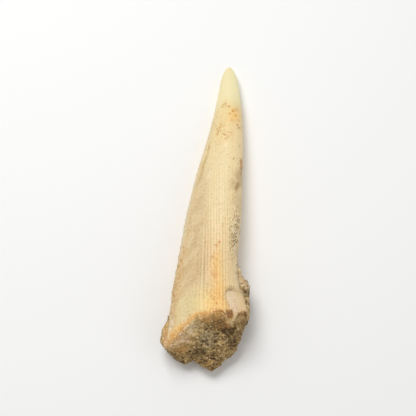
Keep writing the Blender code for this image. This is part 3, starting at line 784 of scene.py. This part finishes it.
def enamel():
    """Ivory fossil enamel with fine lengthwise lines, orange stains, dirt in its hollows, painted shade down
    its right edge and under the scar's step, and painted light on its right side.
    """
    paint = Paint("fossil_enamel")
    across, from_rim = paint.noted("across"), paint.noted("from_rim")
    y = paint.node("ShaderNodeSeparateXYZ", None, {0: paint.place}, output="Y")
    broad = paint.cloud(2.6, detail=3.0, vector=paint.slanted())
    mottle = paint.cloud(1.6, detail=4.0)
    speckle = paint.cloud(0.3, detail=3.0)
    fleck = paint.cloud(0.36, detail=1.0)
    line_place = paint.noted("line_place")
    lengthwise = paint.flat_vector(line_place * (1 / LINE_UNIT), y * (1 / LINE_LENGTH))
    lines = paint.cloud(1.0, detail=1.0, vector=lengthwise)
    comb = (line_place + mottle * 0.2).wave(LINE_SPACING) * 0.6 + lines.step(0.3, 0.7) * 0.4
    lined = y.step(13.0, -8.0) * across.step(0.22, 0.52) * (0.2 + mottle * 0.9)
    grainy = y.step(20.0, 14.0)

    # The broad colours: ivory at the tip, tan at the root, beige in the flute, orange in the stains and
    # painted light along the right side.
    colour = paint.mix((y + mottle * 5.0).step(17.0, 22.0), IVORY, TIP_IVORY)
    # Painted light on the upper right side, which would otherwise turn into shade.
    colour = paint.mix(y.step(12.0, 19.0) * across.step(0.5, 0.9), colour, LIT_SIDE_IVORY)
    colour = paint.mix(y.step(20.0, 16.5) * y.step(8.0, 13.0) * across.step(0.05, 0.35) * 0.85, colour, HONEY)
    colour = paint.mix(y.step(-2.0, -9.0) * 0.8, colour, LOW_TAN)
    # Painted light down the right side.
    side = across.step(0.62, 0.82) * y.step(18.0, 14.0)
    colour = paint.mix(side * 0.8, colour, LIT_SIDE_PALE)
    flute = across.step(0.03, 0.14) * (across + y * 0.014).step(0.46, 0.24) * y.step(10.0, 3.0)
    colour = paint.mix(flute * (0.6 + mottle * 0.6), colour, FLUTE_BEIGE)
    colour = paint.stained(flute * broad.step(0.45, 0.65), colour, BEIGE_STAIN)
    colour = paint.mix(flute * (y + mottle * 3.0).step(-11.5, -15.0) * 0.8, colour, FLUTE_PALE)
    colour = paint.mix(paint.noted("glow"), colour, GLOW_YELLOW)
    by_keel = across.step(0.10, 0.02) * (y.step(8.0, 2.0) * 0.3 + 0.5) * y.step(20.0, 16.0)
    colour = paint.mix(by_keel, colour, EDGE_CREAM)
    stain = paint.noted("stain")
    colour = paint.mix(stain * (y.step(-13.0, -17.0) * 0.3 + mottle * 0.9 + 0.3), colour, STAIN_ORANGE)

    # The fine lines and grain, the worn keel and the spots, the dark ones being dirt and, down the right
    # edge, painted shade.
    colour = paint.stained(lined * comb.step(0.5, 1.0), colour, LINE_STAIN)
    colour = paint.mix(lined * comb.step(0.5, 0.0) * (1.0 - stain * 0.6), colour, LINE_CREAM)
    colour = paint.stained(grainy * speckle.step(0.5, 0.72) * 0.6, colour, SPECK_STAIN)
    colour = paint.mix(grainy * speckle.step(0.48, 0.28) * 0.3, colour, LINE_CREAM)
    colour = paint.stained(paint.noted("mottled") * fleck.step(0.52, 0.66) * 0.9, colour, OLIVE_STAIN)
    colour = paint.stained(paint.noted("groove") * (0.4 + mottle * 0.9), colour, SPECK_STAIN)
    worn_edge = paint.noted("worn_edge")
    colour = paint.stained(worn_edge * (0.3 + mottle), colour, HONEY_STAIN)
    colour = paint.stained(worn_edge * fleck.step(0.5, 0.64) * 0.8, colour, RUST_STAIN)
    colour = paint.stained(paint.noted("rust"), colour, RUST_STAIN)
    # Dirt spots, and painted shade down the right edge.
    colour = paint.stained(paint.noted("dirt_and_edge_shade") * (0.5 + speckle * 0.6), colour, DIRT_AND_SHADE_STAIN)

    # The band by the break, the scar and the painted shadow under its step, the broken faces, the grit and
    # the pale spots.
    rim_band = paint.noted("rim_band")
    colour = paint.mix((rim_band + mottle * 0.7).step(0.45, 1.1) * 0.7, colour, STAIN_ORANGE)
    colour = paint.stained((rim_band + fleck * 0.9).step(0.85, 1.35) * 0.4, colour, RUST_STAIN)
    colour = paint.stained(rim_band * speckle.step(0.47, 0.64) * 0.7, colour, HONEY_STAIN)
    colour = paint.mix(rim_band * speckle.step(0.46, 0.3) * 0.5, colour, LINE_CREAM)
    scarred = paint.mix((across + mottle * 0.1).step(0.88, 1.0), SCAR_GREY, SCAR_TAN)
    scarred = paint.stained(speckle.step(0.5, 0.66) * 0.8, scarred, SPECK_STAIN)
    colour = paint.mix(paint.noted("scar"), colour, scarred)
    # Painted shadow under the scar's step.
    colour = paint.stained(paint.noted("scar_step_shadow") * (0.2 + speckle * 0.8), colour, SHADOW_AND_FLECK_STAIN)
    colour = paint.mix((from_rim - fleck * 1.1).step(-0.35, -0.65), colour, BROKEN_BROWN)
    by_rock = paint.noted("by_rock")
    colour = paint.stained(by_rock.step(0.5, 1.0) * speckle.step(0.42, 0.6) * 0.8, colour, GRIT_STAIN)
    chipped = paint.mix(speckle.step(0.5, 0.68), SPLINTER_TAN, SPLINTER_BROWN)
    colour = paint.mix(paint.noted("splinter") * 0.9, colour, chipped)
    colour = paint.mix(paint.noted("pit"), colour, paint.mix(fleck.step(0.4, 0.6), PIT_BROWN, PIT_RUST))
    grit, dust = paint.noted("grit"), paint.cloud(0.7, detail=4.0)
    colour = paint.stained(grit * dust.step(0.45, 0.57) * 0.6, colour, GRIT_STAIN)
    colour = paint.stained(grit * fleck.step(0.52, 0.58), colour, SHADOW_AND_FLECK_STAIN)
    colour = paint.mix(grit * fleck.step(0.46, 0.40), colour, PALE_CREAM)
    colour = paint.mix(paint.noted("pale") * 0.9, colour, PALE_CREAM)

    height = lined * comb * 0.7 + grit * speckle * 1.6 + grainy * (speckle * 0.3 + fleck * 0.15)
    return paint.finish({
        "Base Color": colour, "Roughness": 0.42 + speckle * 0.2, "Normal": paint.raised(height, ENAMEL_BUMP),
        "Subsurface Weight": ENAMEL_SPREAD_SHARE, "Subsurface Scale": ENAMEL_SPREAD * MM,
        "IOR": ENAMEL_IOR,
    })


ROCK_DARK = shade(86, 64, 34)
ROCK_GREY = shade(156, 135, 98)
ROCK_BROWN = shade(166, 133, 78)
ROCK_PALE = shade(217, 188, 134)
ROCK_CREAM = shade(220, 191, 150)
ROCK_WHITE = shade(244, 232, 204)
ROCK_RUST = shade(206, 146, 76)
CEMENT_BUMP = 0.12
FLOOR_WHITE = shade(252, 252, 251)


def rocky(paint, value, warm, rust):
    """From dark through brown and pale to white as the value rises: greyer where it isn't warm, or rusty."""
    middle = paint.mix(warm.step(-0.6, 0.2), ROCK_GREY, ROCK_BROWN)
    colour = paint.mix(value.step(0.0, 0.42), ROCK_DARK, middle)
    pale = paint.mix(warm.step(-0.8, -0.3), ROCK_CREAM, ROCK_PALE)
    colour = paint.mix(value.step(0.38, 0.85), colour, pale)
    colour = paint.mix(value.step(0.9, 1.15), colour, ROCK_WHITE)
    return paint.mix(rust, colour, ROCK_RUST)


def cement():
    """Grey-brown sandstone, blotched grain by grain, with painted shade in its pits and under the rim."""
    paint = Paint("sandy_cement")
    patches, blotches = paint.cloud(0.9, detail=3.0), paint.cloud(0.36, detail=2.0)
    light, warm = paint.noted("light"), paint.noted("warm")
    # Painted shade in the pits, where the fine lumps dip.
    value = patches * 1.2 + blotches * 1.9 + light * 0.5 - paint.noted("painted_pit_shade") * 0.25 - 1.25
    rust = (warm + patches).step(0.6, 1.3) * 0.65
    colour = rocky(paint, value, warm, rust)
    normal = paint.raised(blotches, CEMENT_BUMP)
    return paint.finish({"Base Color": colour, "Roughness": 0.9, "Normal": normal})


def sand():
    """Grains close to the cement in tone, with some nearly black, white or rusty ones."""
    paint = Paint("sand_grains")
    tone, warm = paint.noted("tone"), paint.noted("warm")
    ends = tone.step(0.92, 1.0) * 0.4 - tone.step(0.12, 0.0) * 0.2
    value = 0.14 + tone * 0.6 + ends + paint.noted("light") * 0.28
    rust = (warm + paint.cloud(0.6)).step(0.7, 1.3) * tone.step(1.0, 0.4) * 0.65
    return paint.finish({"Base Color": rocky(paint, value, warm, rust), "Roughness": 0.7})


def look_from(place, target):
    """A matrix that puts something at a place, turned to look at a target."""
    back = Vector(place) - Vector(target)
    return Matrix.Translation(Vector(place) * MM) @ back.to_track_quat("Z", "Y").to_matrix().to_4x4()


def add_camera():
    lens = bpy.data.cameras.new("camera")
    lens.lens, lens.sensor_width = FOCAL_LENGTH, SENSOR_WIDTH
    lens.clip_start, lens.clip_end = NEAR_CLIP * MM, FAR_CLIP * MM
    camera = bpy.data.objects.new("camera", lens)
    bpy.context.scene.collection.objects.link(camera)
    away = Vector((0.0, -math.cos(VIEW_ELEVATION), math.sin(VIEW_ELEVATION)))
    camera.matrix_world = look_from(Vector(VIEW_TARGET) + away * VIEW_DISTANCE, VIEW_TARGET)
    bpy.context.scene.camera = camera


def add_lamp(name, place, size, power):
    """A square lamp of this width in millimetres and power in watts, turned to the tooth."""
    lamp = bpy.data.lights.new(name, "AREA")
    lamp.size, lamp.energy = size * MM, power
    made = bpy.data.objects.new(name, lamp)
    bpy.context.scene.collection.objects.link(made)
    made.matrix_world = look_from(place, VIEW_TARGET)


def add_studio():
    """A plain pale floor, a soft key light, a weak fill and a pale sky."""
    bpy.ops.mesh.primitive_plane_add(size=FLOOR_SIZE * MM)
    floor = bpy.context.object
    floor.name = "floor"
    paint = Paint("pale_floor")
    floor.data.materials.append(paint.finish({"Base Color": FLOOR_WHITE, "Roughness": 0.8}))
    add_lamp("key", KEY_PLACE, KEY_SIZE, KEY_POWER)
    add_lamp("fill", FILL_PLACE, FILL_SIZE, FILL_POWER)
    world = bpy.data.worlds.new("sky")
    world.use_nodes = True
    world.node_tree.nodes["Background"].inputs["Strength"].default_value = SKY_STRENGTH
    world.node_tree.nodes["Background"].inputs["Color"].default_value = (1.0, 1.0, 1.0, 1.0)
    bpy.context.scene.world = world
    bpy.context.scene.view_settings.view_transform = "Standard"


def build():
    chance = random.Random(GRAIN_SEED)
    add_camera()
    add_studio()
    tooth = make_tooth()
    tooth.data.materials.append(enamel())
    tooth_surface = surface_index(tooth)
    rock = make_rock(tooth_surface)
    rock.data.materials.append(cement())
    rock_surface = surface_index(rock)
    near_rock = [nearness(vertex.co, rock_surface, SEAM_WIDTH) for vertex in tooth.data.vertices]
    note_on_points(tooth, "by_rock", near_rock)

    def open_face(face):
        near, normal, _, _ = tooth_surface.find_nearest(face.center)
        return face.center.z > FOOT_HEIGHT * MM and (face.center - near).dot(normal) > -HIDDEN_DEPTH * MM

    grit = values_on_points(tooth, "grit")
    from_rim = values_on_points(tooth, "from_rim")
    splinter = values_on_points(tooth, "splinter")

    def gritty(face):
        return grit[face.vertices[0]] > chance.uniform(*GRIT_CUTS)

    def on_rim(face):
        whole = splinter[face.vertices[0]] < SPLINTER_CUT
        return whole and RIM_SAND_START < from_rim[face.vertices[0]] < chance.uniform(*RIM_SAND_ENDS)

    def by_rock(face):
        near, normal, _, distance = rock_surface.find_nearest(face.center)
        in_open = (face.center - near).dot(normal) > 0.0 and face.center.z > SEAM_SAND_HEIGHT * MM
        corner = face.vertices[0]
        whole = from_rim[corner] > SEAM_SAND_OFF_RIM and splinter[corner] < SPLINTER_CUT
        reach = chance.random() ** 2 * SEAM_WIDTH * MM
        return in_open and whole and distance < reach

    def tone_at(point):
        return rock_tone(point, tooth_surface)

    def edge_tone(point):
        light, warm = tone_at(point)
        return light + EDGE_SAND_LIGHT, warm + EDGE_SAND_WARMTH

    def mixed_tone(_):
        return chance.choice(PATCH_SAND_LIGHTS), 0.0

    on_rock = make_grains("sand_on_rock", rock, ROCK_GRAINS, chance, open_face, tone_at)
    along_rim = make_grains("sand_along_rim", tooth, RIM_GRAINS, chance, on_rim, edge_tone)
    along_seam = make_grains("sand_along_seam", tooth, SEAM_GRAINS, chance, by_rock, edge_tone)
    on_tooth = make_grains("sand_on_tooth", tooth, PATCH_GRAINS, chance, gritty, mixed_tone)
    grain_finish = sand()
    for grains in (on_rock, along_rim, along_seam, on_tooth):
        grains.data.materials.append(grain_finish)
    for piece, node, slot in (
        (tooth, "tooth", "tooth"), (rock, "matrix", "matrix"), (on_rock, None, "matrix"),
        (along_rim, None, "matrix"), (along_seam, None, "matrix"), (on_tooth, None, "matrix"),
    ):
        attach(piece, "root")
        if node:
            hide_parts(node)


build()
